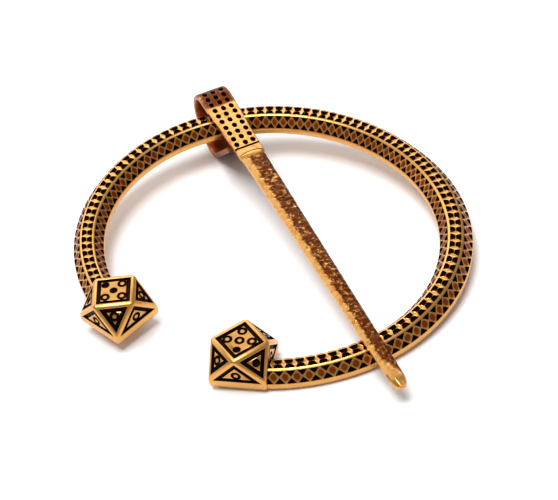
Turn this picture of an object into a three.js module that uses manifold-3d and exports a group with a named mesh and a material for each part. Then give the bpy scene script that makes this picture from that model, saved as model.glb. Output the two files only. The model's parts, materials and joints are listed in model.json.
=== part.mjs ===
// A penannular brooch of cast brass: an open oval hoop with a faceted knob on each end, and a loose
// pin that hangs on the hoop by its curled head. Millimetres, +Z up. The brooch lies on a level
// surface, on the underside of the pin's loop, a corner of one knob and the hoop's rim beside it.
//
// The hoop is drawn flat, with its underside at z = 0, its centre at x = y = 0 and the pin along -Y.
// The last section turns it into the way it lies and puts the origin at the middle of its base.

import * as THREE from 'three';
import { ConvexGeometry } from 'three/addons/geometries/ConvexGeometry.js';
import { ConvexHull } from 'three/addons/math/ConvexHull.js';
import { mergeVertices } from 'three/addons/utils/BufferGeometryUtils.js';
import Module from 'manifold-3d';

const { PI, asin, cos, sin } = Math;
const rad = THREE.MathUtils.degToRad;

// ---- driving dimensions ----

const HOOP_RADIUS = 25;          // mean radius of the hoop's centre line
const OVAL = 1.4;                // how much the long half-axis is more than the mean radius
const OVAL_AXIS = rad(112);       // direction of the long axis

const BAR_HEIGHT = 2.75;         // hoop's bar, underside to top facet
const BAR_SIDE = 1.1;            // height at which the slopes start
const BAR_CHAMFER = 0.3;         // along the bar's lower edges
const BAR_HALF = 2.22;           // half the bar's width, at the foot of the slopes
const BAR_TOP_HALF = 0.96;       // half the width of its top facet
const BAR_SWELL = 0.04;          // the bar is this much thicker opposite the gap than at its mean

const PUNCH_COLUMNS = 98;        // pairs of punched triangles along each facet
const PUNCH_DEPTH = 0.34;
const PUNCH_LAND = 0.2;          // metal left between a triangle and the ridge beside it
const PUNCH_FILL = 0.4;          // half a triangle's base, as a part of the pitch

const KNOB_RIM = 0.39;           // plain rim below the facets, as a part of the half side
const KNOB_EDGE = 0.18;          // rounded lower edge, likewise
const KNOBS = [                  // side of the square base, and where the knob sits on the hoop
  { side: 7.5, angle: rad(188.5), radius: 23.35, turn: rad(204) },
  { side: 7.6, angle: rad(239.3), radius: 23.1, turn: rad(235.5) },
];
const BORDER_INSET = 0.5;        // engraved line round each facet of a knob
const BORDER_WIDTH = 0.28;
const BORDER_DEPTH = 0.18;
const DOT_RADIUS = 0.5;
const DOT_DEPTH = 0.22;
const DOT_SIDES = 6;

const PIN_OFFSET = 3.3;          // the pin passes this far to the side of the hoop's centre
const AXIS_HEIGHT = 1.1;         // the pin turns about the middle of the bar's section
const PLATE_RISE = 3.5;          // middle of the head plate above that axis
const PLATE_THICKNESS = 0.8;
const PLATE_WIDTH = 4.6;         // head plate over the hoop
const NECK_WIDTH = 3.75;         // head plate where the shaft begins
const CURL_RADIUS = 4.5;         // middle line of the curl outside the hoop
const CURL_SHIFT = 2.05;         // curl's centre outside the axis
const RETURN_SLOPE = rad(43);    // the end of the strip rises at this slope to the shaft
const RETURN_LENGTH = 9.5;
const NECK = 10.6;               // shaft begins this far inside the axis
const SHAFT_END = 60.7;          // tip, from the axis
const SHAFT_WIDTH = [3.4, 2];    // at the neck and near the tip
const SHAFT_THICKNESS = [1.7, 1.35];
const TIP_LENGTH = 1.6;          // blunt rounding of the tip
const PIN_GAP = 0.25;            // between the shaft and the hoop it rests on

const PIT_COLUMNS = 3;
const PIT_ROWS = 10;
const PIT_PITCH = [1.27, 1.42];  // across and along the plate
const PIT_RADIUS = 0.36;
const PIT_DEPTH = 0.35;
const PIT_SIDES = 7;
const CROSS_GROOVE = 0.4;        // width of the groove between the plate and the shaft
const CROSS_BAR = 0.9;           // raised bar between the groove and the shaft's face

// ---- solids ----

const wasm = await Module();
wasm.setup();

function toSolid(geometry) {
  const plain = geometry.clone();
  for (const name of Object.keys(plain.attributes)) if (name !== 'position') plain.deleteAttribute(name);
  const merged = mergeVertices(plain, 1e-5);
  return new wasm.Manifold(new wasm.Mesh({
    numProp: 3,
    vertProperties: new Float32Array(merged.attributes.position.array),
    triVerts: new Uint32Array(merged.index.array),
  }));
}

function toGeometry(solid) {
  const { vertProperties, triVerts } = solid.getMesh();
  const geometry = new THREE.BufferGeometry();
  geometry.setAttribute('position', new THREE.BufferAttribute(new Float32Array(vertProperties), 3));
  geometry.setIndex(new THREE.BufferAttribute(new Uint32Array(triVerts), 1));
  geometry.computeVertexNormals();
  return geometry;
}

// Closed cutters that don't touch one another, taken away from a body in one cut.
function cutAll(body, cutters) {
  return cutters.map(toSolid).reduce((result, cutter) => result.subtract(cutter), body);
}

// A flat-ended bar of the given outline (x across, y up), `steps` long stretches of one unit in all.
function straightBar(outline, steps) {
  const shape = new THREE.Shape(outline.map(([x, y]) => new THREE.Vector2(x, y)));
  return new THREE.ExtrudeGeometry(shape, { depth: 1, steps, bevelEnabled: false });
}

// Moves every vertex of a geometry by a function of its x, y and z.
function reshape(geometry, place) {
  const position = geometry.attributes.position;
  const point = new THREE.Vector3();
  for (let i = 0; i < position.count; i += 1) {
    point.copy(place(...point.fromBufferAttribute(position, i)));
    position.setXYZ(i, point.x, point.y, point.z);
  }
  return geometry;
}

// A pyramid that sinks `depth` below the flat figure `corners`, and stands as far out of it.
function pyramid(corners, outward, depth) {
  const middle = corners.reduce((sum, p) => sum.add(p), new THREE.Vector3()).divideScalar(corners.length);
  const apex = middle.addScaledVector(outward, -depth);
  const mouth = corners.map((p) => apex.clone().addScaledVector(p.clone().sub(apex), 2));
  return new ConvexGeometry([apex, ...mouth]);
}

// ---- hoop ----

const gapAngle = (KNOBS[0].angle + KNOBS[1].angle) / 2;

function centreRadius(angle) {
  return HOOP_RADIUS + OVAL * cos(2 * (angle - OVAL_AXIS));
}

// Bends the bar's own coordinates (across, up, along 0 to 1) into the open oval.
function onHoop(across, up, along) {
  const angle = THREE.MathUtils.lerp(KNOBS[0].angle + 2 * PI, KNOBS[1].angle, along);
  const swell = 1 - BAR_SWELL * cos(angle - gapAngle);
  const radius = centreRadius(angle) + across * swell;
  return new THREE.Vector3(radius * cos(angle), radius * sin(angle), up * swell);
}

const BAR_OUTLINE = [
  [-BAR_HALF + BAR_CHAMFER, 0], [BAR_HALF - BAR_CHAMFER, 0],
  [BAR_HALF - 0.05, BAR_CHAMFER], [BAR_HALF, BAR_SIDE], [BAR_TOP_HALF, BAR_HEIGHT],
  [-BAR_TOP_HALF, BAR_HEIGHT], [-BAR_HALF, BAR_SIDE], [-BAR_HALF + 0.05, BAR_CHAMFER],
];

// The three decorated facets, each from its outer ridge to its inner one.
const FACETS = [
  [BAR_OUTLINE[3], BAR_OUTLINE[4]],
  [BAR_OUTLINE[4], BAR_OUTLINE[5]],
  [BAR_OUTLINE[5], BAR_OUTLINE[6]],
];

// Two triangles point to point across a facet, with their bases along its ridges.
function punchPair([from, to], column) {
  const [dx, dy] = [to[0] - from[0], to[1] - from[1]];
  const width = Math.hypot(dx, dy);
  const at = (share, along) => onHoop(from[0] + dx * share, from[1] + dy * share, along);
  const middle = (column + 0.5) / PUNCH_COLUMNS;
  const half = PUNCH_FILL / PUNCH_COLUMNS;
  const land = PUNCH_LAND / width;
  const waist = 0.03;
  const outward = at(1, middle).sub(at(0, middle)).cross(at(0.5, middle + half).sub(at(0.5, middle)));
  outward.normalize();
  if (outward.z < 0) outward.negate();
  return [[land, 0.5 - waist], [1 - land, 0.5 + waist]].map(([base, tip]) => {
    const corners = [at(base, middle - half), at(base, middle + half), at(tip, middle)];
    return pyramid(corners, outward, PUNCH_DEPTH);
  });
}

// Corners of a knob in its own frame: x away from the hoop's centre, z up from its underside.
function knobCorners(half) {
  const top = (KNOB_RIM + 1) * half;
  const square = (size, z) => [[1, 1], [-1, 1], [-1, -1], [1, -1]].map(([x, y]) =>
    new THREE.Vector3(x * size, y * size, z));
  const diamond = [[1, 0], [0, 1], [-1, 0], [0, -1]].map(([x, y]) =>
    new THREE.Vector3(x * half, y * half, top));
  return {
    foot: square((1 - KNOB_EDGE) * half, 0),
    edge: square(half, KNOB_EDGE * half),
    rim: square(half, KNOB_RIM * half),
    diamond,
  };
}

// Its faces above the rim, each as a list of corners going round it.
function knobFaces({ rim, diamond }) {
  const corners = rim.map((corner, i) => [corner, diamond[(i + 1) % 4], diamond[i]]);
  const sides = diamond.map((tip, i) => [tip, rim[(i + 3) % 4], rim[i]]);
  return { top: diamond, corners, sides };
}

// The frame of a flat face: x along its first edge, z outward, origin at its middle.
function faceFrame(face) {
  const middle = face.reduce((sum, p) => sum.add(p), new THREE.Vector3()).divideScalar(face.length);
  const x = face[1].clone().sub(face[0]).normalize();
  const z = x.clone().cross(face[2].clone().sub(face[0])).normalize();
  if (z.dot(middle) < 0) z.negate();
  const y = z.clone().cross(x);
  return new THREE.Matrix4().makeBasis(x, y, z).setPosition(middle);
}

// Moves the sides of a flat figure round (0, 0) inward by `inset`.
function insetOutline(outline, inset) {
  const area = THREE.ShapeUtils.area(outline);
  const loop = area < 0 ? [...outline].reverse() : outline;
  const sides = loop.map((p, i) => {
    const next = loop[(i + 1) % loop.length];
    const along = next.clone().sub(p).normalize();
    const inward = new THREE.Vector2(-along.y, along.x);
    return { point: p.clone().addScaledVector(inward, inset), along };
  });
  return sides.map((side, i) => {
    const before = sides[(i + sides.length - 1) % sides.length];
    const gap = side.point.clone().sub(before.point);
    return before.point.clone().addScaledVector(before.along,
      gap.cross(side.along) / before.along.cross(side.along));
  });
}

// Cutter of the engraved line that runs round a face, parallel to its edges.
function borderCutter(face) {
  const frame = faceFrame(face);
  const back = frame.clone().invert();
  const flat = face.map((p) => p.clone().applyMatrix4(back)).map((p) => new THREE.Vector2(p.x, p.y));
  const shape = new THREE.Shape(insetOutline(flat, BORDER_INSET));
  shape.holes.push(new THREE.Path(insetOutline(flat, BORDER_INSET + BORDER_WIDTH)));
  const ring = new THREE.ExtrudeGeometry(shape, { depth: 2 * BORDER_DEPTH, bevelEnabled: false });
  return ring.translate(0, 0, -BORDER_DEPTH).applyMatrix4(frame);
}

function dotCutter(face, x = 0, y = 0) {
  const dot = new THREE.CylinderGeometry(DOT_RADIUS, DOT_RADIUS * 0.7, 2 * DOT_DEPTH, DOT_SIDES);
  return dot.rotateX(PI / 2).translate(x, y, 0).applyMatrix4(faceFrame(face));
}

// Five dots on the top of a knob, like the five of a die, and one on each other face.
function knobDots({ top, corners, sides }, half) {
  const step = half * 0.38;
  const five = [[0, 0], [step, step], [-step, step], [-step, -step], [step, -step]];
  return [
    ...five.map(([x, y]) => dotCutter(top, x, y)),
    ...[...corners, ...sides].map((face) => dotCutter(face)),
  ];
}

function knobPlace({ angle, radius, turn }) {
  const move = new THREE.Matrix4().makeTranslation(radius * cos(angle), radius * sin(angle), 0);
  return move.multiply(new THREE.Matrix4().makeRotationZ(turn));
}

// A knob with its carving, where it sits on the hoop.
function makeKnob({ side, ...place }) {
  const half = side / 2;
  const corners = knobCorners(half);
  const faces = knobFaces(corners);
  const body = toSolid(new ConvexGeometry(Object.values(corners).flat()));
  const borders = [faces.top, ...faces.corners, ...faces.sides].map(borderCutter);
  return cutAll(body, borders.concat(knobDots(faces, half))).transform(knobPlace(place).elements);
}

function makeHoop() {
  const bar = reshape(straightBar(BAR_OUTLINE, PUNCH_COLUMNS), onHoop);
  const columns = Array.from({ length: PUNCH_COLUMNS }, (_, column) => column);
  const punches = FACETS.flatMap((facet) => columns.flatMap((column) => punchPair(facet, column)));
  const punched = cutAll(toSolid(bar), punches);
  return toGeometry(KNOBS.map(makeKnob).reduce((hoop, knob) => hoop.add(knob), punched));
}

// ---- pin ----

const stripLength = { curl: CURL_RADIUS * (PI + RETURN_SLOPE), plate: CURL_SHIFT + NECK };

// Where the strip's middle line runs, and its direction, `s` from the end tucked under the shaft.
// The pin's own frame has its axis at the origin, the shaft along +x and z up.
function stripLine(s) {
  const curlStart = RETURN_LENGTH;
  const curlEnd = curlStart + stripLength.curl;
  if (s >= curlEnd) return { x: s - curlEnd - CURL_SHIFT, z: PLATE_RISE, slope: 0 };
  const turned = Math.min((curlEnd - s) / CURL_RADIUS, PI + RETURN_SLOPE);
  const angle = PI / 2 + turned;
  const centreZ = PLATE_RISE - CURL_RADIUS;
  const straight = Math.max(curlStart - s, 0);
  return {
    x: -CURL_SHIFT + CURL_RADIUS * cos(angle) - straight * sin(angle),
    z: centreZ + CURL_RADIUS * sin(angle) + straight * cos(angle),
    slope: turned,
  };
}

const plateStart = RETURN_LENGTH + stripLength.curl;
const neckAt = plateStart + stripLength.plate;
const pinLength = plateStart + CURL_SHIFT + SHAFT_END;

// Width and thickness of the pin at `s` along it.
function stripSize(s) {
  if (s <= neckAt + CROSS_BAR) {
    const share = THREE.MathUtils.smoothstep(s, plateStart, neckAt);
    return { width: THREE.MathUtils.lerp(PLATE_WIDTH, NECK_WIDTH, share), thickness: PLATE_THICKNESS };
  }
  const share = (s - neckAt - CROSS_BAR) / (pinLength - neckAt - CROSS_BAR);
  const left = Math.min((pinLength - s) / TIP_LENGTH, 1);
  const blunt = Math.sqrt(1 - (1 - left) ** 2 * 0.7);
  return {
    width: THREE.MathUtils.lerp(...SHAFT_WIDTH, share) * blunt,
    thickness: THREE.MathUtils.lerp(...SHAFT_THICKNESS, share) * blunt,
  };
}

// Stations along the pin: close in the curl, at the neck and at the tip, far apart on the shaft.
function pinStations() {
  const curl = Array.from({ length: 21 }, (_, i) => RETURN_LENGTH + (i / 20) * stripLength.curl);
  const plate = [1, 2, 3].map((i) => plateStart + (i / 4) * stripLength.plate);
  const shaft = [0.3, 0.6].map((share) => neckAt + share * (pinLength - neckAt));
  const tip = [1, 0.75, 0.5, 0.3, 0.12, 0].map((share) => pinLength - share * TIP_LENGTH);
  return [0, RETURN_LENGTH / 2, ...curl, ...plate, neckAt, neckAt + CROSS_BAR, neckAt + CROSS_BAR + 0.15,
    ...shaft, ...tip];
}

// Half of the pin's outline, for a width and a thickness of 1, with the long edges bevelled.
const PIN_OUTLINE = [
  [-0.4, -0.5], [0.4, -0.5], [0.5, -0.3], [0.5, 0.2], [0.36, 0.5], [-0.36, 0.5], [-0.5, 0.2], [-0.5, -0.3],
];

function onPin(across, up, s) {
  const { x, z, slope } = stripLine(s);
  const { width, thickness } = stripSize(s);
  const out = up * thickness;
  return new THREE.Vector3(x - out * sin(slope), across * width, z + out * cos(slope));
}

function pitCutters() {
  const first = neckAt - CROSS_GROOVE - PIT_PITCH[1] / 2;
  const columns = Array.from({ length: PIT_COLUMNS }, (_, i) => i - (PIT_COLUMNS - 1) / 2);
  const rows = Array.from({ length: PIT_ROWS }, (_, i) => first - i * PIT_PITCH[1]);
  return rows.flatMap((s) => columns.map((column) => {
    const { x, z, slope } = stripLine(s);
    const pit = new THREE.CylinderGeometry(PIT_RADIUS, PIT_RADIUS * 0.75, 2 * PIT_DEPTH, PIT_SIDES);
    pit.rotateX(PI / 2).translate(0, column * PIT_PITCH[0], PLATE_THICKNESS / 2);
    return pit.rotateY(-slope).translate(x, 0, z);
  }));
}

function crossGroove() {
  const size = [CROSS_GROOVE, PLATE_WIDTH + 1, PLATE_THICKNESS];
  return new THREE.BoxGeometry(...size).translate(NECK - CROSS_GROOVE / 2, 0, PLATE_RISE + PLATE_THICKNESS * 0.7);
}

function makePin() {
  const stations = pinStations();
  const bar = straightBar(PIN_OUTLINE, stations.length - 1);
  reshape(bar, (across, up, along) => onPin(across, up, stations[Math.round(along * (stations.length - 1))]));
  const cutters = [...pitCutters(), crossGroove()];
  return toGeometry(cutAll(toSolid(bar), cutters));
}

// ---- the brooch as it lies ----

function brass(color, roughness) {
  return new THREE.MeshStandardMaterial({ color, roughness, metalness: 1 });
}

// Angle by which the shaft dips from the hoop's plane until it rests on the near side of the hoop.
function pinDip(axisY) {
  const near = -PI / 2 + asin(PIN_OFFSET / HOOP_RADIUS);
  const span = axisY + centreRadius(near) * cos(PI / 2 + near);
  const underside = AXIS_HEIGHT + PLATE_RISE - THREE.MathUtils.lerp(...SHAFT_THICKNESS, 0.8) / 2;
  return asin((underside - BAR_HEIGHT - PIN_GAP) / span);
}

// Volume and centre of mass of closed meshes, from the tetrahedra between their triangles and a point.
function massCentre(meshes) {
  const total = { volume: 0, moment: new THREE.Vector3() };
  for (const mesh of meshes) {
    const { position } = mesh.geometry.attributes;
    const { array } = mesh.geometry.index;
    const corner = (i) => new THREE.Vector3().fromBufferAttribute(position, array[i])
      .applyMatrix4(mesh.matrixWorld);
    for (let i = 0; i < array.length; i += 3) {
      const [a, b, c] = [corner(i), corner(i + 1), corner(i + 2)];
      const volume = a.dot(b.clone().cross(c)) / 6;
      total.volume += volume;
      total.moment.addScaledVector(a.add(b).add(c), volume / 4);
    }
  }
  return total.moment.divideScalar(total.volume);
}

// Outward normal of the hull face that the brooch comes to rest on: the one below its centre of mass.
function restingNormal(object, meshes) {
  const centre = massCentre(meshes);
  const hull = new ConvexHull().setFromObject(object);
  const foot = hull.faces.find((face) => {
    const [a, b, c] = [0, 1, 2].map((i) => face.getEdge(i).head().point);
    const below = centre.clone().addScaledVector(face.normal, face.constant - face.normal.dot(centre));
    return face.normal.z < -0.9 && new THREE.Triangle(a, b, c).containsPoint(below);
  });
  return foot.normal;
}

const hoop = new THREE.Mesh(makeHoop(), brass(0xc89a52, 0.38));
hoop.name = 'hoop';
const pin = new THREE.Mesh(makePin(), brass(0xd8b068, 0.34));
pin.name = 'pin';

const far = PI / 2 - asin(PIN_OFFSET / HOOP_RADIUS);
const pinPivot = new THREE.Group();
pinPivot.position.set(PIN_OFFSET, centreRadius(far) * sin(far), AXIS_HEIGHT);
pinPivot.rotation.set(0, pinDip(pinPivot.position.y), -PI / 2, 'ZYX');
pinPivot.add(pin);

const brooch = new THREE.Group();
brooch.add(hoop, pinPivot);
brooch.updateMatrixWorld(true);
const down = new THREE.Vector3(0, 0, -1);
brooch.quaternion.setFromUnitVectors(restingNormal(brooch, [hoop, pin]), down);
brooch.updateMatrixWorld(true);
const box = new THREE.Box3().setFromObject(brooch, true);
brooch.position.set(-(box.min.x + box.max.x) / 2, -(box.min.y + box.max.y) / 2, -box.min.z);

export default brooch;
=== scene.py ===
# %% [markdown]
# # An open-ring cloak brooch of cast brass
#
# The real thing is two castings: an oval hoop with a faceted knob on each end, and a pin whose head
# is a strip curled loosely round the hoop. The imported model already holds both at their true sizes.
# This script gives them what a caster's file and punches leave: rounded ridges, raised lips round
# every punch mark, hammer marks, and the black oxide that polishing can't reach.

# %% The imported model
import json
from math import asin, cos, pi, radians, sin, sqrt, tau
from random import Random

import bmesh
import bpy
from mathutils import Matrix, Vector, noise
from mathutils.bvhtree import BVHTree


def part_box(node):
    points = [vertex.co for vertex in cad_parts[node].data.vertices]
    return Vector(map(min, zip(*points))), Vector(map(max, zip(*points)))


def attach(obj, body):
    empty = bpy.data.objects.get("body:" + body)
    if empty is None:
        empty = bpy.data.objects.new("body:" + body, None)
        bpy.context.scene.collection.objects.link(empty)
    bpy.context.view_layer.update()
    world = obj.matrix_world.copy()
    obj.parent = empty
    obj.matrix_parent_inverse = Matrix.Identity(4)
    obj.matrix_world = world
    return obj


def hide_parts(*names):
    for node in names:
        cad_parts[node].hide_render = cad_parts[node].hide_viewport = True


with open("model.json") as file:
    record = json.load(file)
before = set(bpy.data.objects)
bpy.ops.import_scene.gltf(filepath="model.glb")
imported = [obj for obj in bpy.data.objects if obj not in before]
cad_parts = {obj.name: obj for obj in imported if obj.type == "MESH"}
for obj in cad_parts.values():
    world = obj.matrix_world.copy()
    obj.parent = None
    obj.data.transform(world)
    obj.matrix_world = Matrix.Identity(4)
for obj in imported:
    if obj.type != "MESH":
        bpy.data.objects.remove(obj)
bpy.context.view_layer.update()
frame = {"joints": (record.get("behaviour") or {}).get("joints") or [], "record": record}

# %% [markdown]
# ## The camera
#
# The camera comes first, so that every later cell can be looked at. A long lens from the side and
# above keeps the oval's shape calm, as in a catalogue. `to_track_quat` turns a direction into a
# rotation, and a last turn about the line of sight is the slight tilt of a hand-held camera.

# %% Camera
MM = 0.001
AIM = Vector((1.292, -0.385, 2.227)) * MM
DISTANCE = 237.4 * MM
AZIMUTH, ELEVATION, ROLL = radians(-16.04), radians(38.396), radians(-9.732)
LENS = 112.75

back = Vector((sin(AZIMUTH) * cos(ELEVATION), -cos(AZIMUTH) * cos(ELEVATION), sin(ELEVATION)))
camera = bpy.data.objects.new("camera", bpy.data.cameras.new("camera"))
camera.data.lens = LENS
camera.data.clip_start, camera.data.clip_end = 0.01, 10
camera.location = AIM + back * DISTANCE
camera.rotation_mode = "QUATERNION"
tilt = Matrix.Rotation(ROLL, 3, "Z").to_quaternion()
camera.rotation_quaternion = back.to_track_quat("Z", "Y") @ tilt
bpy.context.scene.collection.objects.link(camera)
bpy.context.scene.camera = camera
print("camera", round(DISTANCE * 1000), "mm from", [round(c * 1000, 2) for c in AIM])

# %% [markdown]
# ## How the brooch lies
#
# The hoop is easiest to model flat, with its centre at zero, and the pin along its own axis. The
# brooch lies a few degrees off level, though. Two things in the record say how: the knob's top face
# gives the way up, and the pin's hinge gives a sideways direction and a point. A matrix from those
# carries each finished piece to its place, so nothing is fitted by eye.

# %% From the hoop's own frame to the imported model's
HOOP_RADIUS, OVAL, OVAL_AXIS = 25, 1.4, radians(112)
PIN_OFFSET, AXIS_HEIGHT = 3.3, 1.1


def centre_radius(angle):
    return HOOP_RADIUS + OVAL * cos(2 * (angle - OVAL_AXIS))


far_angle = pi / 2 - asin(PIN_OFFSET / HOOP_RADIUS)
pivot = Vector((PIN_OFFSET, centre_radius(far_angle) * sin(far_angle), AXIS_HEIGHT))
hinge = frame["joints"][0]
mounts = {mount["name"]: mount for mount in frame["record"]["mounts"]}
upward = Vector(mounts["knob_top"]["axis"]).normalized()
sideways = -Vector(hinge["axis"])
sideways = (sideways - upward * sideways.dot(upward)).normalized()
turned = Matrix((sideways, upward.cross(sideways), upward)).transposed().to_4x4()
lying = (Matrix.Scale(MM, 4) @ Matrix.Translation(Vector(hinge["pos_m"]) / MM) @ turned
         @ Matrix.Translation(-pivot))
print("tilt of the hoop:", round(upward.angle((0, 0, 1)) * 180 / pi, 2), "degrees")

# %% [markdown]
# ## Helpers
#
# Every bmesh here carries two numbers for the finish. `soot`, on faces, is 1 on the walls and
# floors of pits and engraved lines, where black oxide stays. The other, on vertices, is painted
# darkening: on the pin's curl it is painted shade, and it makes the hoop's raised lands darker than
# the ridges round them. Both survive subdivision and Booleans. Cutting tools are sooty all over, so
# whatever they cut comes out black.

# %% Small helpers for every piece


def new_bmesh():
    bm = bmesh.new()
    bm.faces.layers.float.new("soot")
    # Painted darkening: shade on the pin's curl, darker raised lands on the hoop.
    bm.verts.layers.float.new("painted_dimming")
    return bm


def paint(bm, faces, soot):
    layer = bm.faces.layers.float["soot"]
    for face in faces:
        face[layer] = soot


def new_object(name, bm):
    """The bmesh as an object; the bmesh is used up."""
    mesh = bpy.data.meshes.new(name)
    bm.to_mesh(mesh)
    bm.free()
    piece = bpy.data.objects.new(name, mesh)
    bpy.context.scene.collection.objects.link(piece)
    return piece


def settle(piece):
    """Applies the piece's modifiers to its mesh."""
    graph = bpy.context.evaluated_depsgraph_get()
    mesh = bpy.data.meshes.new_from_object(piece.evaluated_get(graph))
    piece.modifiers.clear()
    old, piece.data = piece.data, mesh
    bpy.data.meshes.remove(old)
    return piece


def carve(piece, tool, operation="DIFFERENCE"):
    """Cuts the tool out of the piece, or joins it on, and throws the tool away."""
    cut = piece.modifiers.new("carve", "BOOLEAN")
    cut.object, cut.operation, cut.solver = tool, operation, "MANIFOLD"
    settle(piece)
    bpy.data.objects.remove(tool)
    return piece


def cutter(bm):
    """A bmesh of closed shapes as a cutting tool."""
    bmesh.ops.recalc_face_normals(bm, faces=bm.faces)
    paint(bm, bm.faces, 1)
    return new_object("cutter", bm)


def smoothed(piece):
    rounding = piece.modifiers.new("round", "SUBSURF")
    rounding.levels = rounding.render_levels = 1
    return settle(piece)


def black_area(piece):
    """How many square mm of the piece are sooty."""
    soot = piece.data.attributes["soot"].data
    return round(sum(p.area for p in piece.data.polygons if soot[p.index].value > 0.5), 1)


def blend(start, end, value):
    """0 at start, 1 at end, and a smooth step between."""
    share = min(max((value - start) / (end - start), 0), 1)
    return share * share * (3 - 2 * share)


def mix(a, b, share):
    return a + (b - a) * share


# %% [markdown]
# ## The hoop's bar
#
# A founder casts this bar with sloping facets and punches the pattern in afterwards: two triangles
# point to point across each side, and two wider marks across the top. Cutting six hundred pits out
# of a curved solid would be slow. Here the bar is made straight: one outline, repeated by `spin`
# with no angle and a step instead. Poking the sides' quads gives the triangles for nothing, halving
# the top's gives the rest, and insets turn them all into lips and pits.

# %% The straight bar
BAR_OUTLINE = [(-1.92, 0), (1.92, 0), (2.17, 0.3), (2.22, 1.1), (0.96, 2.75),
               (-0.96, 2.75), (-2.22, 1.1), (-2.17, 0.3)]
BAR_SWELL = 0.04
RIDGE_BEVEL = 0.14
COLUMNS = 98
KNOBS = [
    {"side": 7.5, "angle": radians(188.5), "radius": 23.35, "turn": radians(204)},
    {"side": 7.6, "angle": radians(239.3), "radius": 23.1, "turn": radians(235.5)},
]
BAR_LENGTH = HOOP_RADIUS * (KNOBS[0]["angle"] + tau - KNOBS[1]["angle"])
PITCH = BAR_LENGTH / COLUMNS


def close_ends(bm):
    bmesh.ops.holes_fill(bm, edges=[e for e in bm.edges if e.is_boundary], sides=0)


def swept(points, step, steps):
    """A closed bar: the outline, repeated along a straight step."""
    bm = new_bmesh()
    ring = [bm.verts.new(point) for point in points]
    loop = ring + [bm.edges.new(pair) for pair in zip(ring, ring[1:] + ring[:1])]
    bmesh.ops.spin(bm, geom=loop, cent=(0, 0, 0), axis=(0, 0, 1), dvec=step, angle=0, steps=steps)
    close_ends(bm)
    bmesh.ops.recalc_face_normals(bm, faces=bm.faces)
    return bm


def run(edge):
    """How far an edge runs along the bar."""
    return abs(edge.verts[0].co.y - edge.verts[1].co.y)


bar = swept([(x, 0, z) for x, z in BAR_OUTLINE], (0, PITCH, 0), COLUMNS)
ridges = [e for e in bar.edges if run(e) > PITCH / 2 and e.verts[0].co.z > 1]
bmesh.ops.bevel(bar, geom=ridges, offset=RIDGE_BEVEL, segments=2, profile=0.5, affect="EDGES",
                material=-1)
print("straight bar:", round(BAR_LENGTH, 1), "mm,", len(bar.faces), "faces")

# %% Helpers for the punch marks
chance = Random(11)


def shake(amount):
    """A small seeded shift either way: nothing that is punched by hand is quite even."""
    return chance.uniform(-amount, amount)


def sink(bm, faces, steps):
    """Insets the faces step by step: width, height, and whether the new band is black."""
    for width, height, soot in steps:
        made = bmesh.ops.inset_individual(bm, faces=faces, thickness=width, depth=height,
                                          use_even_offset=True)
        paint(bm, made["faces"], soot)


FACETS_ABOVE = 1.2


def facets(bm, on_top):
    """The bar's large faces above its plain band: those of the top, or those of the sides."""
    return [f for f in bm.faces
            if f.calc_center_median().z > FACETS_ABOVE and abs(f.normal.y) < 0.5
            and f.calc_area() > PITCH * 0.5 and (f.normal.z > 0.9) == on_top]


def ribs_of(faces):
    """The edges that run across the bar."""
    return list({e for f in faces for e in f.edges if run(e) < PITCH * 0.1})


# %% Triangles on the sides, and raised lands between them
CROWN, CROWN_EDGE = 0.08, 0.1
painted_dimming = bar.verts.layers.float["painted_dimming"]
sharp_verts = bar.verts.layers.float.new("crease_vert")
sharp_edges = bar.edges.layers.float.new("crease_edge")

bmesh.ops.subdivide_edges(bar, edges=ribs_of(facets(bar, True)), cuts=1, use_grid_fill=True)
triangles = bmesh.ops.poke(bar, faces=facets(bar, False))["faces"]
bases = {e for f in triangles for e in f.edges if run(e) > PITCH * 0.9}
punched = [f for f in triangles if not bases.isdisjoint(f.edges)]
waists = {v for f in triangles for v in f.verts} - {v for edge in bases for v in edge.verts}
for vert in waists:
    vert.co.y += shake(0.08)
    vert.co.x += shake(0.05)

# Subdividing renews the bmesh's elements, so the ribs' new middles are found by their place.
ribs = ribs_of(f for f in triangles if bases.isdisjoint(f.edges))
middles = {(edge.verts[0].co + edge.verts[1].co).to_tuple(2) for edge in ribs}
bmesh.ops.subdivide_edges(bar, edges=ribs, cuts=1)
bar.normal_update()
crowns = [v for v in bar.verts if (v.co * 2).to_tuple(2) in middles]
for vert in crowns:
    vert.co += vert.normal * (CROWN + shake(0.03))
halves = list({f for v in crowns for f in v.link_faces if abs(f.normal.y) < 0.5})
bmesh.ops.inset_region(bar, faces=halves, thickness=CROWN_EDGE, use_even_offset=True,
                       use_boundary=True)
# The raised lands are painted darker than the ridges and lips round them.
for face in halves:
    for vert in face.verts:
        vert[painted_dimming] = 1
print(len(punched), "triangles on the sides,", len(crowns), "raised lands between them")

# %% Marks on the top, and the pits of all of them
LIP, TOP_LIP = (0.02, 0.05, 0), (0.06, 0.06, 0)
WALL, FLOOR = (0.03, -0.2, 1), (0.08, -0.1, 1)
SHARPNESS = 0.85

sink(bar, punched, [LIP])
drops = facets(bar, True)
sink(bar, drops, [TOP_LIP])
for face in drops:
    middle = face.calc_center_median().y + shake(0.05)
    for vert in face.verts:
        if abs(vert.co.x) < 0.3:
            vert.co.x, vert.co.y = vert.co.x * 0.3, mix(vert.co.y, middle, 0.4)
punched += drops
for face in punched:
    for vert, edge in zip(face.verts, face.edges):
        vert[sharp_verts], edge[sharp_edges] = SHARPNESS, SHARPNESS
sink(bar, punched, (WALL, FLOOR))
paint(bar, punched, 1)
for face in punched:
    for vert in face.verts:
        vert.co += Vector([shake(0.04) for _ in range(3)])
print(len(punched), "punch marks in all")

# %% Bending the bar into the hoop
gap_angle = (KNOBS[0]["angle"] + KNOBS[1]["angle"]) / 2


def on_hoop(across, along, up):
    angle = mix(KNOBS[0]["angle"] + tau, KNOBS[1]["angle"], along)
    swell = 1 - BAR_SWELL * cos(angle - gap_angle)
    radius = centre_radius(angle) + across * swell
    return Vector((radius * cos(angle), radius * sin(angle), up * swell))


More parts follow.
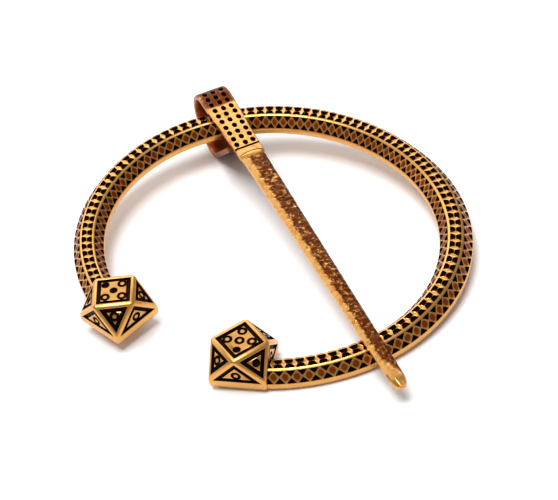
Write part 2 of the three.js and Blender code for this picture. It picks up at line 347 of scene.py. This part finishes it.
for vert in bar.verts:
    vert.co = on_hoop(vert.co.x, vert.co.y / BAR_LENGTH, vert.co.z)
bmesh.ops.recalc_face_normals(bar, faces=bar.faces)
hoop = smoothed(new_object("cast_hoop", bar))
print("bar:", len(hoop.data.polygons), "faces,", black_area(hoop), "square mm black")

# %% [markdown]
# ## The knobs
#
# Each knob is a cube with its four upper corners cut off down to the middles of the edges, which
# leaves a square turned on its corner on top and eight triangles round it. A vertex bevel of half
# the side does exactly that. An engraved line runs inside every face, and rings with a dot are
# drilled in the panels. The line is a few insets; the rings are small turned cutters, taken away by
# a Boolean.

# %% A knob's block and its engraved lines
KNOB_RIM, KNOB_FOOT, KNOB_EDGE = 0.39, 0.18, 0.28
ENGRAVING = ((0.1, 0, 0), (0.05, -0.04, 0), (0.06, -0.24, 1), (0.42, 0, 1), (0.05, 0.2, 1),
             (0.05, 0.04, 0))
PANEL_SOOT, PANEL_SHAKE = 0.15, 0.07


def upright(edge, half):
    """Whether an edge is one of the four upright corners of the rim."""
    low, high = sorted(v.co.z for v in edge.verts)
    return high - low > 0.1 and high < KNOB_RIM * half + 0.01 and edge.calc_face_angle(0) > 0.3


def knob_block(half):
    bm = new_bmesh()
    bmesh.ops.create_cube(bm, size=2 * half)
    bmesh.ops.translate(bm, verts=bm.verts, vec=(0, 0, KNOB_RIM * half))
    upper = [v for v in bm.verts if v.co.z > half]
    bmesh.ops.bevel(bm, geom=upper, offset=half, segments=1, profile=0.5, affect="VERTICES",
                    material=-1)
    bmesh.ops.remove_doubles(bm, verts=bm.verts, dist=0.01)
    for height, cleared in ((0, True), (KNOB_RIM * half, False)):
        bmesh.ops.bisect_plane(bm, geom=bm.verts[:] + bm.edges[:] + bm.faces[:], dist=0.001,
                               plane_co=(0, 0, height), plane_no=(0, 0, -1), clear_outer=cleared)
        close_ends(bm)
    bmesh.ops.recalc_face_normals(bm, faces=bm.faces)
    foot = [e for e in bm.edges if all(v.co.z < 0.01 for v in e.verts)]
    bmesh.ops.bevel(bm, geom=foot, offset=KNOB_FOOT * half, segments=3, profile=0.5, affect="EDGES",
                    material=-1)
    edges = [e for e in bm.edges if min(v.co.z for v in e.verts) > KNOB_RIM * half - 0.01
             and e.calc_face_angle(0) > 0.3 or upright(e, half)]
    bmesh.ops.bevel(bm, geom=edges, offset=KNOB_EDGE, segments=3, profile=0.5, affect="EDGES",
                    material=-1)
    return bm


def panels(bm, half):
    return [f for f in bm.faces if f.calc_area() > 4 and f.normal.z > -0.1
            and f.calc_center_median().z > KNOB_RIM * half]


# %% Rings and dots
RING_RADIUS, RING_TUBE, DOT_STEP = 0.47, 0.21, 0.42
DOT_CONE = {"radius1": 0.3, "radius2": 0.8, "depth": 0.6}


def add_tube(tools, radius, tube, angle=tau):
    """A ring, or an arc of one that starts on the x axis, as a round tube about z."""
    known = set(tools.verts)
    section = bmesh.ops.create_circle(tools, radius=tube, segments=8)["verts"]
    bmesh.ops.rotate(tools, verts=section, matrix=Matrix.Rotation(pi / 2, 3, "X"))
    bmesh.ops.translate(tools, verts=section, vec=(radius, 0, 0))
    edges = list({e for v in section for e in v.link_edges})
    bmesh.ops.spin(tools, geom=section + edges, cent=(0, 0, 0), axis=(0, 0, 1), angle=angle,
                   steps=18, use_merge=angle == tau)
    if angle < tau:
        close_ends(tools)
    return [v for v in tools.verts if v not in known]


def drill(tools, kind, normal, place):
    if kind == "ring":
        made = add_tube(tools, RING_RADIUS, RING_TUBE)
    else:
        made = bmesh.ops.create_cone(tools, cap_ends=True, segments=14, **DOT_CONE)["verts"]
    stand = Matrix.Translation(place) @ normal.to_track_quat("Z", "Y").to_matrix().to_4x4()
    bmesh.ops.transform(tools, verts=made, matrix=stand)


def make_knob(side, angle, radius, turn, kinds, filled):
    """A knob in its place. `kinds` are its top's five marks, `filled` the sides with a dot."""
    half = side / 2
    bm = knob_block(half)
    faces = panels(bm, half)
    sink(bm, faces, ENGRAVING)
    paint(bm, faces, PANEL_SOOT)
    for vert in {v for f in faces for v in f.verts}:
        vert.co += Vector([shake(PANEL_SHAKE) for _ in range(3)])
    tools = new_bmesh()
    for face in faces:
        normal, middle = face.normal.copy(), face.calc_center_median()
        if normal.z > 0.9:
            for kind, (x, y) in zip(kinds, ((0, 0), (1, 0), (0, 1), (-1, 0), (0, -1))):
                drill(tools, kind, normal, middle + Vector((x, y, 0)) * half * DOT_STEP)
        else:
            towards = (round(normal.x * 1.4), round(normal.y * 1.4))
            drill(tools, "dot" if towards in filled else "ring", normal, middle)
    knob = carve(new_object("knob", bm), cutter(tools))
    print("knob:", len(faces), "panels,", black_area(knob), "square mm black")
    seat = Matrix.Translation((radius * cos(angle), radius * sin(angle), 0))
    knob.data.transform(seat @ Matrix.Rotation(turn, 4, "Z"))
    return knob


MARKS = [{"kinds": ("dot", "ring", "ring", "ring", "dot"), "filled": [(1, -1)]},
         {"kinds": ("ring", "dot", "ring", "ring", "ring"), "filled": [(1, 1)]}]
for knob, marks in zip(KNOBS, MARKS):
    carve(hoop, make_knob(**knob, **marks), "UNION")
print("hoop with its knobs:", len(hoop.data.polygons), "faces,", black_area(hoop),
      "square mm black")

# %% [markdown]
# ## The pin
#
# The pin is one strip: a tail tucked under the shaft, a curl, a flat head plate with rows of
# drilled pits, and a thicker shaft with a hammered face. It too is made straight, so that pits and
# grooves are cut with upright tools, and bent last.

# %% The straight strip
PLATE_RISE, PLATE_THICKNESS, PLATE_WIDTH, NECK_WIDTH = 3.5, 0.8, 4.6, 3.75
CURL_RADIUS, CURL_SHIFT, RETURN_SLOPE, RETURN_LENGTH = 4.5, 2.05, radians(43), 9.5
NECK, SHAFT_END, TIP_LENGTH = 10.6, 60.7, 1.6
SHAFT_WIDTH, SHAFT_THICKNESS = (3.4, 2), (1.7, 1.35)
CROSS_GROOVE, CROSS_BAR = 0.4, 0.9
PIT_PITCH = (1.27, 1.42)

curl_end = RETURN_LENGTH + CURL_RADIUS * (pi + RETURN_SLOPE)
neck_at = curl_end + CURL_SHIFT + NECK
pin_length = curl_end + CURL_SHIFT + SHAFT_END
STRIP_STEP = 0.2
TOP_PARTS = 14

top = [(mix(-0.44, 0.44, i / TOP_PARTS), 0.5) for i in range(TOP_PARTS + 1)]
under = [(mix(0.44, -0.44, i / 4), -0.5) for i in range(5)]
outline = [(-0.5, -0.3), (-0.5, 0.3)] + top + [(0.5, 0.3), (0.5, -0.3)] + under
steps = round(pin_length / STRIP_STEP)
strip = swept([(0, y, z) for y, z in outline], (pin_length / steps, 0, 0), steps)


def shaft_share(s, across):
    """0 on the head plate, 1 on the shaft, with a rounded boundary between them."""
    start = neck_at + CROSS_BAR + 0.15 + 1.8 * across * across
    return blend(start, start + 0.45, s)


def strip_point(s, across, up):
    """Width, thickness and section of the strip at s, from its outline of width and height 1."""
    share = shaft_share(s, across)
    along = max((s - neck_at - CROSS_BAR) / (pin_length - neck_at - CROSS_BAR), 0)
    blunt = sqrt(1 - (1 - min((pin_length - s) / TIP_LENGTH, 1)) ** 2 * 0.72)
    width = mix(mix(PLATE_WIDTH, NECK_WIDTH, blend(curl_end, neck_at, s)),
                mix(*SHAFT_WIDTH, along) * blunt, share)
    thickness = mix(PLATE_THICKNESS, mix(*SHAFT_THICKNESS, along) * blunt, share)
    if up > 0.45:
        part = (across + 0.44) / 0.88
        place = mix(-0.36, 0.37, part)
        slope = 0.12 + (place + 0.5) * 1.27
        across, up = mix(across, place, share), mix(up, min(slope, 0.5 - 0.1 * part), share)
    elif abs(up) < 0.4:
        up = mix(up, up * 0.4, share)
    return Vector((s, across * width, up * thickness))


for vert in strip.verts:
    vert.co = strip_point(*vert.co)
pin = new_object("curled_pin", strip)
print("straight pin:", round(pin_length, 1), "mm,", len(pin.data.polygons), "faces")

# %% Pits and grooves of the head
PIT_CONE = {"radius1": 0.3, "radius2": 0.46, "depth": 0.8}
PIT_STRETCH, PIT_SHAKE = 1.45, 0.06
ARC_RADIUS, ARC_TUBE, ARC_ANGLE, ARC_LIFT = 4.4, 0.1, radians(70), 0.02
tools = new_bmesh()
for row in range(10):
    for column in (-1, 0, 1):
        place = Vector((neck_at - CROSS_GROOVE - PIT_PITCH[1] * (row + 0.5) + shake(PIT_SHAKE),
                        column * PIT_PITCH[0] + shake(PIT_SHAKE), PLATE_THICKNESS / 2))
        pit = bmesh.ops.create_cone(tools, cap_ends=True, segments=16, **PIT_CONE)["verts"]
        bmesh.ops.scale(tools, verts=pit, vec=(PIT_STRETCH, 1, 1))
        bmesh.ops.translate(tools, verts=pit, vec=place)
groove = bmesh.ops.create_cube(tools, size=1)["verts"]
bmesh.ops.scale(tools, verts=groove, vec=(CROSS_GROOVE, PLATE_WIDTH + 1, 0.5))
bmesh.ops.translate(tools, verts=groove, vec=(neck_at - CROSS_GROOVE / 2, 0, PLATE_THICKNESS / 2))
arc = add_tube(tools, ARC_RADIUS, ARC_TUBE, ARC_ANGLE)
bmesh.ops.rotate(tools, verts=arc, matrix=Matrix.Rotation(pi - ARC_ANGLE / 2, 3, "Z"))
bmesh.ops.translate(tools, verts=arc, vec=(neck_at + CROSS_BAR + 0.12 + ARC_RADIUS, 0,
                                           PLATE_THICKNESS / 2 + ARC_LIFT))
carve(pin, cutter(tools))
print("carved pin:", len(pin.data.polygons), "faces,", black_area(pin), "square mm black")

# %% Hammer marks, painted shade on the curl, and bending the strip


def strip_line(s):
    """Point and slope of the strip's middle line, s from the tucked end, about the hinge."""
    if s >= curl_end:
        return s - curl_end - CURL_SHIFT, PLATE_RISE, 0
    slope = min((curl_end - s) / CURL_RADIUS, pi + RETURN_SLOPE)
    left = max(RETURN_LENGTH - s, 0)
    angle = pi / 2 + slope
    return (-CURL_SHIFT + CURL_RADIUS * cos(angle) - left * sin(angle),
            PLATE_RISE - CURL_RADIUS + CURL_RADIUS * sin(angle) + left * cos(angle), slope)


def worked(point, width):
    """How far a point lies in the hammered band of the shaft, 0 to 1."""
    s, y = point.x, point.y / width
    notches = noise.noise(Vector((s * 1.7, 3, 0))) * 0.13
    left = blend(-0.26, -0.21, y + notches + 0.02)
    top = blend(neck_at + CROSS_BAR + 1.0, neck_at + CROSS_BAR + 1.8, s)
    tip = 1 - blend(pin_length - 4.5 + 4 * y, pin_length - 2.5 + 4 * y, s)
    return left * top * tip * blend(-0.1, 0.2, point.z)


bm = bmesh.new()
bm.from_mesh(pin.data)
hammered_and_shaded = bm.verts.layers.float.new("hammered_and_shaded")
shade_and_tarnish_inside = bm.verts.layers.float.new("shade_and_tarnish_inside")
painted_dimming = bm.verts.layers.float["painted_dimming"]
for vert in bm.verts:
    s, y, z = vert.co
    along = max((s - neck_at) / (pin_length - neck_at), 0)
    amount = worked(vert.co, mix(*SHAFT_WIDTH, along))
    curl = 1 - blend(neck_at - 11, neck_at - 10, s)
    # On the shaft this is the hammered band; on the curl's outer face the same mark is painted shade.
    vert[hammered_and_shaded] = max(amount, 0.8 * curl * blend(0.1, 0.3, z))
    # Painted shade, with some tarnish no cloth reaches: the strip's underside in the tail and curl.
    vert[shade_and_tarnish_inside] = blend(-0.1, -0.3, z) * (1 - blend(neck_at - 2, neck_at, s))
    # The tail and curl are painted darker: painted shade.
    vert[painted_dimming] = 1 - blend(neck_at - 10.7, neck_at - 10.1, s)
    dents = noise.noise(Vector((s * 2.3, y * 0.9, 0)))
    dents += 0.5 * noise.noise(Vector((s * 4.7, y * 2.6, 5)))
    depth = amount * (0.09 + 0.13 * dents)
    x, rise, slope = strip_line(s)
    z -= max(depth, 0)
    vert.co = (x - z * sin(slope), y, rise + z * cos(slope))
bmesh.ops.recalc_face_normals(bm, faces=bm.faces)
bm.to_mesh(pin.data)
bm.free()

near_angle = -pi / 2 + asin(PIN_OFFSET / HOOP_RADIUS)
span = pivot.y + centre_radius(near_angle) * cos(pi / 2 + near_angle)
dip = asin((AXIS_HEIGHT + PLATE_RISE - mix(*SHAFT_THICKNESS, 0.8) / 2 - 2.75 - 0.25) / span)
pin_frame = (lying @ Matrix.Translation(pivot) @ Matrix.Rotation(-pi / 2, 4, "Z")
             @ Matrix.Rotation(dip, 4, "Y"))
print("the shaft dips", round(dip * 180 / pi, 2), "degrees to rest on the hoop")

# %% [markdown]
# ## Where polishing reaches, and painted shade
#
# Brass like this is blackened all over and then polished, so a tarnish stays where the wheel can't
# reach. The same darkening is also painted shade in corners and hollows. Two numbers on every
# vertex tell a material where that is. `recess` is the share of rays leaving the surface that hit
# metal within a millimetre: high in a corner, nothing on a ridge. `ridge` is how much the surface
# falls away round a vertex, which is where polishing bites most.

# %% Recess and ridge
REACH = 1.0


def sky(count):
    """Directions over a half sphere about z, more of them near its pole."""
    golden = pi * (3 - sqrt(5))
    for i in range(count):
        flat = sqrt((i + 0.5) / count) * 0.97
        yield Vector((flat * cos(i * golden), flat * sin(i * golden), sqrt(1 - flat * flat)))


def feel(piece, rays):
    bm = bmesh.new()
    bm.from_mesh(piece.data)
    tree = BVHTree.FromBMesh(bm)
    recess = bm.verts.layers.float.new("recess")
    ridge = bm.verts.layers.float.new("ridge")
    directions = list(sky(rays))
    for vert in bm.verts:
        normal = vert.normal
        turn = normal.to_track_quat("Z", "Y").to_matrix()
        start = vert.co + normal * 0.02
        hits = sum(tree.ray_cast(start, turn @ d, REACH)[0] is not None for d in directions)
        vert[recess] = hits / rays
        falls = [(e.other_vert(vert).co - vert.co) for e in vert.link_edges]
        vert[ridge] = max(0, -sum(f.dot(normal) / max(f.length, 1e-6) for f in falls) / len(falls))
    bm.to_mesh(piece.data)
    bm.free()


for piece, place, node in ((hoop, lying, "hoop"), (pin, pin_frame, "pin")):
    feel(piece, 24)
    piece.data.transform(place)
    piece.data.shade_smooth()
    piece.data.set_sharp_from_angle(angle=radians(50))
    box = [f(v.co[i] for v in piece.data.vertices) for f in (min, max) for i in range(3)]
    print(node, "mm:", [round(c * 1000, 2) for c in box], "CAD:",
          [round(c * 1000, 2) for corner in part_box(node) for c in corner])

# %% [markdown]
# ## Writing shader maths as expressions
#
# A material's maths is easier to read as `1 - mask * 0.5` than as a web of nodes. A small class
# wraps a socket, and each operator adds one Math node behind the scenes.

# %% A socket that can be added and multiplied


class Wire:
    def __init__(self, kit, socket):
        self.kit, self.socket = kit, socket

    def maths(self, operation, a, b):
        return self.kit.node("ShaderNodeMath", {"operation": operation}, {0: a, 1: b})

    def __add__(self, other):
        return self.maths("ADD", self, other)

    def __radd__(self, other):
        return self.maths("ADD", other, self)

    def __sub__(self, other):
        return self.maths("SUBTRACT", self, other)

    def __rsub__(self, other):
        return self.maths("SUBTRACT", other, self)

    def __mul__(self, other):
        return self.maths("MULTIPLY", self, other)

    def __rmul__(self, other):
        return self.maths("MULTIPLY", other, self)

    def or_more(self, other):
        return self.maths("MAXIMUM", self, other)


class Finish:
    """A material and the few ways its nodes are made here."""

    def __init__(self, name):
        self.material = bpy.data.materials.new(name)
        self.material.use_nodes = True
        self.tree = self.material.node_tree
        self.shader = self.tree.nodes["Principled BSDF"]

    def node(self, kind, settings, sockets, output=0):
        made = self.tree.nodes.new(kind)
        for name, value in settings.items():
            setattr(made, name, value)
        for name, value in sockets.items():
            self.plug(made.inputs[name], value)
        return Wire(self, made.outputs[output])

    def plug(self, socket, value):
        if isinstance(value, Wire):
            self.tree.links.new(value.socket, socket)
        else:
            socket.default_value = value

    def step(self, value, start, end):
        return self.node("ShaderNodeMapRange", {"interpolation_type": "SMOOTHSTEP"},
                         {"Value": value, "From Min": start, "From Max": end})

    def noise(self, scale, detail=3, rough=0.5, stretch=(1, 1, 1)):
        place = self.node("ShaderNodeTexCoord", {}, {}, "Object")
        spread = self.node("ShaderNodeMapping", {}, {"Vector": place, "Scale": stretch})
        return self.node("ShaderNodeTexNoise", {}, {"Vector": spread, "Scale": scale,
                                                    "Detail": detail, "Roughness": rough})

    def blend(self, share, first, second):
        return self.node("ShaderNodeMix", {"data_type": "RGBA"}, {0: share, 6: first, 7: second}, 2)

    def attribute(self, name):
        return self.node("ShaderNodeAttribute", {"attribute_name": name}, {}, "Fac")


# %% [markdown]
# ## The brass
#
# Three layers share one shader: bare brass where it is polished, a redder tarnish on faces that
# only see a cloth, and black oxide in the recesses. Both dark layers also carry painted shade: in
# corners and hollows, and on the pin's curl and underside. The redder layer also darkens the hoop's
# raised lands. Noise at several sizes breaks up their borders.
# The oxide is a dark metal here as well, since a dark plastic would show the lights as a grey
# sheen.

# %% Brass finishes
BRASS = (0.73, 0.37, 0.105, 1)
TARNISH_AND_SHADE = (0.24, 0.042, 0.004, 1)
WORKED_AND_SHADE = (0.1, 0.019, 0.001, 1)
OXIDE_AND_SHADE = (0.012, 0.004, 0.0015, 1)


def brass(name, worked_and_shaded=False):
    finish = Finish(name)
    recess, ridge = finish.attribute("recess"), finish.attribute("ridge")
    cloud = finish.noise(900, 4, 0.6)
    grain = finish.noise(6000, 3, 0.6)
    # Black oxide in pits and engraved lines, and painted shade wherever rays meet metal close by.
    oxide_and_shade_mask = finish.attribute("soot").or_more(finish.step(recess + cloud * 0.16, 0.5, 0.66))
    bright = finish.step(ridge, 0.03, 0.2)
    # Tarnish from noise, painted shade from the recesses and the curl, darker raised lands; ridges
    # stay bare.
    dull_and_shade_mask = finish.step(recess * 1.2 + finish.attribute("painted_dimming") * 0.75 + cloud * 0.7, 0.3, 1.1)
    dull_and_shade_mask = dull_and_shade_mask * (1 - bright * 0.7)
    metal = finish.blend(dull_and_shade_mask, BRASS, TARNISH_AND_SHADE)
    rough = dull_and_shade_mask * 0.14
    if worked_and_shaded:
        flecks = finish.noise(1500, 4, 0.7)
        metal = finish.blend(finish.step(flecks, 0.45, 0.7) * 0.55, metal, TARNISH_AND_SHADE)
        # The hammered band of the shaft; on the curl the same mask is painted shade.
        beaten_and_shaded = finish.attribute("hammered_and_shaded") * finish.step(flecks, 0.3, 0.5)
        # Painted shade, with some tarnish: the strip's underside in the tail and curl turns dark red.
        metal = finish.blend(finish.attribute("shade_and_tarnish_inside") * 0.9, metal, TARNISH_AND_SHADE)
        metal = finish.blend(beaten_and_shaded, metal, WORKED_AND_SHADE)
        rough = rough + beaten_and_shaded * 0.12
    finish.plug(finish.shader.inputs["Base Color"], finish.blend(oxide_and_shade_mask, metal, OXIDE_AND_SHADE))
    finish.plug(finish.shader.inputs["Metallic"], 1)
    finish.plug(finish.shader.inputs["Roughness"], 0.27 + rough + oxide_and_shade_mask * 0.25 + grain * 0.06)
    bump = finish.node("ShaderNodeBump", {}, {"Height": grain * 0.3 + cloud, "Strength": 0.35,
                                              "Distance": 0.00006})
    finish.plug(finish.shader.inputs["Normal"], bump)
    return finish.material


for piece, material in ((hoop, brass("punched_brass")), (pin, brass("pin_brass", True))):
    piece.data.materials.clear()
    piece.data.materials.append(material)
print("finishes:", [m.name for m in bpy.data.materials])

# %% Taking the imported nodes' places
for piece, node in ((hoop, "hoop"), (pin, "pin")):
    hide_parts(node)
    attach(piece, node)
    node + "_brass"

# %% [markdown]
# ## Table and light
#
# Metal shows what it reflects. A white table, a soft light overhead, a bright screen behind and a
# dimmer one on the left give pale faces, while the dim room in front leaves others deep gold.

# %% Table, lights and room
bm = bmesh.new()
bmesh.ops.create_grid(bm, x_segments=1, y_segments=1, size=1.5)
table = new_object("table", bm)
white = Finish("white_table")
white.plug(white.shader.inputs["Base Color"], (0.9, 0.9, 0.91, 1))
white.plug(white.shader.inputs["Roughness"], 0.9)
white.plug(white.shader.inputs["Specular IOR Level"], 0.1)
table.data.materials.append(white.material)


def softbox(name, place, size, glow, aim=(0, 0, 0)):
    """A rectangular light of the given brightness, whatever its size."""
    light = bpy.data.lights.new(name, "AREA")
    light.shape, light.size, light.size_y = "RECTANGLE", *size
    light.energy = glow * pi * size[0] * size[1]
    lamp = bpy.data.objects.new(name, light)
    lamp.location = place
    lamp.rotation_mode = "QUATERNION"
    lamp.rotation_quaternion = (Vector(place) - Vector(aim)).to_track_quat("Z", "Y")
    lamp.visible_camera = False
    bpy.context.scene.collection.objects.link(lamp)
    return lamp


softbox("overhead", (-0.1, -0.05, 0.6), (0.35, 0.35), 9.5)
softbox("screen", (0.08, 0.55, 0.36), (0.75, 0.42), 2.1)
softbox("left", (-0.42, 0.42, 0.24), (0.42, 0.42), 1.0)
room = bpy.data.worlds.new("room")
room.use_nodes = True
room.node_tree.nodes["Background"].inputs["Color"].default_value = (1, 1, 1, 1)
room.node_tree.nodes["Background"].inputs["Strength"].default_value = 0.36
bpy.context.scene.world = room
bpy.context.scene.view_settings.view_transform = "Standard"
